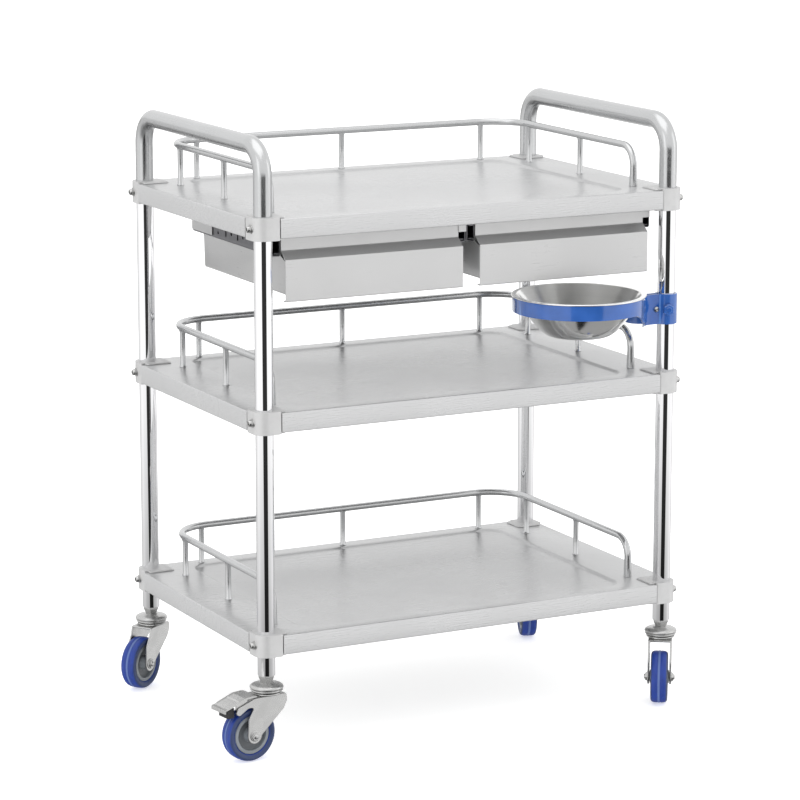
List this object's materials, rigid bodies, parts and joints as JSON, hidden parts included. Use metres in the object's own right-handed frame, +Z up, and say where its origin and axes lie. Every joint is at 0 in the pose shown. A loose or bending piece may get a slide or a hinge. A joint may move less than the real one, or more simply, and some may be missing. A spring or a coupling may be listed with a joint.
{
  "type": "instrument cart",
  "caption": "Stainless instrument cart on swivel casters, with railed shelves, push handles, two drawers and a steel bowl in a blue ring holder clamped to a leg.",
  "frame": {"origin": "middle of the whole cart's footprint box on the floor, casters and basin included", "axes": "+Z up, +X along the long side to the cart's right, the drawers open towards -Y"},
  "size_m": [0.7312, 0.5218, 0.8454],
  "materials": {
    "chrome_tube": "mirror-polished tube",
    "satin_tube": "satin tube, softly streaked",
    "shelf_sheet": "fine satin sheet",
    "drawer_sheet": "satin folded sheet",
    "drawer_front_sheet": "fine satin sheet",
    "slide_steel": "dark zinc-coated steel",
    "hanger_sheet": "satin sheet",
    "clamp_casting": "fine matte casting",
    "blue_enamel": "glossy enamel",
    "bowl_steel": "bright polished steel",
    "plated_steel": "satin zinc plating",
    "grey_plastic": "fine moulded grain",
    "blue_tread": "smooth moulded tread",
    "black_rubber": "matte"
  },
  "bodies": {
    "cart_frame": {"leg_front_left": "chrome_tube", "leg_front_right": "chrome_tube", "leg_rear_left": "chrome_tube", "leg_rear_right": "chrome_tube", "handle_left": "satin_tube", "handle_right": "satin_tube", "shelf_top": "shelf_sheet", "guard_rail_top": "satin_tube", "clamp_top_front_left": "clamp_casting", "clamp_top_front_right": "clamp_casting", "clamp_top_rear_left": "clamp_casting", "clamp_top_rear_right": "clamp_casting", "shelf_middle": "shelf_sheet", "guard_rail_middle": "satin_tube", "clamp_middle_front_left": "clamp_casting", "clamp_middle_front_right": "clamp_casting", "clamp_middle_rear_left": "clamp_casting", "clamp_middle_rear_right": "clamp_casting", "shelf_bottom": "shelf_sheet", "guard_rail_bottom": "satin_tube", "clamp_bottom_front_left": "clamp_casting", "clamp_bottom_front_right": "clamp_casting", "clamp_bottom_rear_left": "clamp_casting", "clamp_bottom_rear_right": "clamp_casting", "slide_left_outer_fixed": "slide_steel", "slide_left_inner_fixed": "slide_steel", "slide_right_outer_fixed": "slide_steel", "slide_right_inner_fixed": "slide_steel", "hanger_left": "hanger_sheet", "hanger_right": "hanger_sheet", "hanger_centre": "hanger_sheet", "caster_stem_front_left": "plated_steel", "caster_stem_front_right": "plated_steel", "caster_stem_rear_left": "plated_steel", "caster_stem_rear_right": "plated_steel"},
    "drawer_left": {"drawer_left_box": "drawer_sheet", "drawer_left_front": "drawer_front_sheet", "slide_left_outer_moving": "slide_steel", "slide_left_inner_moving": "slide_steel"},
    "drawer_right": {"drawer_right_box": "drawer_sheet", "drawer_right_front": "drawer_front_sheet", "slide_right_outer_moving": "slide_steel", "slide_right_inner_moving": "slide_steel"},
    "basin_holder": {"ring_holder": "blue_enamel", "ring_clamp_screw": "plated_steel"},
    "basin_bowl": {"basin_bowl": "bowl_steel"},
    "fork_front_left": {"caster_fork_front_left": "plated_steel"},
    "wheel_front_left": {"caster_hub_front_left": "grey_plastic", "caster_tyre_front_left": "blue_tread"},
    "brake_pedal": {"brake_pedal": "plated_steel", "brake_pad": "black_rubber"},
    "fork_front_right": {"caster_fork_front_right": "plated_steel"},
    "wheel_front_right": {"caster_hub_front_right": "grey_plastic", "caster_tyre_front_right": "blue_tread"},
    "fork_rear_left": {"caster_fork_rear_left": "plated_steel"},
    "wheel_rear_left": {"caster_hub_rear_left": "grey_plastic", "caster_tyre_rear_left": "blue_tread"},
    "fork_rear_right": {"caster_fork_rear_right": "plated_steel"},
    "wheel_rear_right": {"caster_hub_rear_right": "grey_plastic", "caster_tyre_rear_right": "blue_tread"}
  },
  "joints": [
    {"name": "swivel_front_left", "type": "hinge", "parent": "cart_frame", "child": "fork_front_left", "pos_m": [-0.28592, -0.16637, 0.09265], "axis": [0, 0, 1], "continuous": true},
    {"name": "wheel_spin_front_left", "type": "hinge", "parent": "fork_front_left", "child": "wheel_front_left", "pos_m": [-0.31563, -0.17055, 0.0375], "axis": [0.1392, -0.9903, 0], "continuous": true},
    {"name": "brake_pedal_tilt", "type": "hinge", "parent": "fork_front_left", "child": "brake_pedal", "pos_m": [-0.33147, -0.17278, 0.08], "axis": [0.1392, -0.9903, 0], "range_deg": [0, 8]},
    {"name": "swivel_front_right", "type": "hinge", "parent": "cart_frame", "child": "fork_front_right", "pos_m": [0.33908, -0.16637, 0.09265], "axis": [0, 0, 1], "continuous": true},
    {"name": "wheel_spin_front_right", "type": "hinge", "parent": "fork_front_right", "child": "wheel_front_right", "pos_m": [0.32274, -0.19154, 0.0375], "axis": [0.8387, -0.5446, 0], "continuous": true},
    {"name": "swivel_rear_left", "type": "hinge", "parent": "cart_frame", "child": "fork_rear_left", "pos_m": [-0.28592, 0.23362, 0.09265], "axis": [0, 0, 1], "continuous": true},
    {"name": "wheel_spin_rear_left", "type": "hinge", "parent": "fork_rear_left", "child": "wheel_rear_left", "pos_m": [-0.31079, 0.21685, 0.0375], "axis": [0.5592, -0.829, 0], "continuous": true},
    {"name": "swivel_rear_right", "type": "hinge", "parent": "cart_frame", "child": "fork_rear_right", "pos_m": [0.33908, 0.23362, 0.09265], "axis": [0, 0, 1], "continuous": true},
    {"name": "wheel_spin_rear_right", "type": "hinge", "parent": "fork_rear_right", "child": "wheel_rear_right", "pos_m": [0.32784, 0.20581, 0.0375], "axis": [0.9272, -0.3746, 0], "continuous": true},
    {"name": "drawer_left_slide", "type": "slide", "parent": "cart_frame", "child": "drawer_left", "axis": [0, -1, 0], "range_m": [0, 0.22]},
    {"name": "drawer_right_slide", "type": "slide", "parent": "cart_frame", "child": "drawer_right", "axis": [0, -1, 0], "range_m": [0, 0.22]},
    {"name": "basin_swing", "type": "hinge", "parent": "cart_frame", "child": "basin_holder", "pos_m": [0.33908, -0.16637, 0.5697], "axis": [0, 0, 1], "range_deg": [-90, 180]},
    {"name": "basin_lift", "type": "slide", "parent": "basin_holder", "child": "basin_bowl", "axis": [0, 0, 1], "range_m": [0, 0.02]}
  ]
}
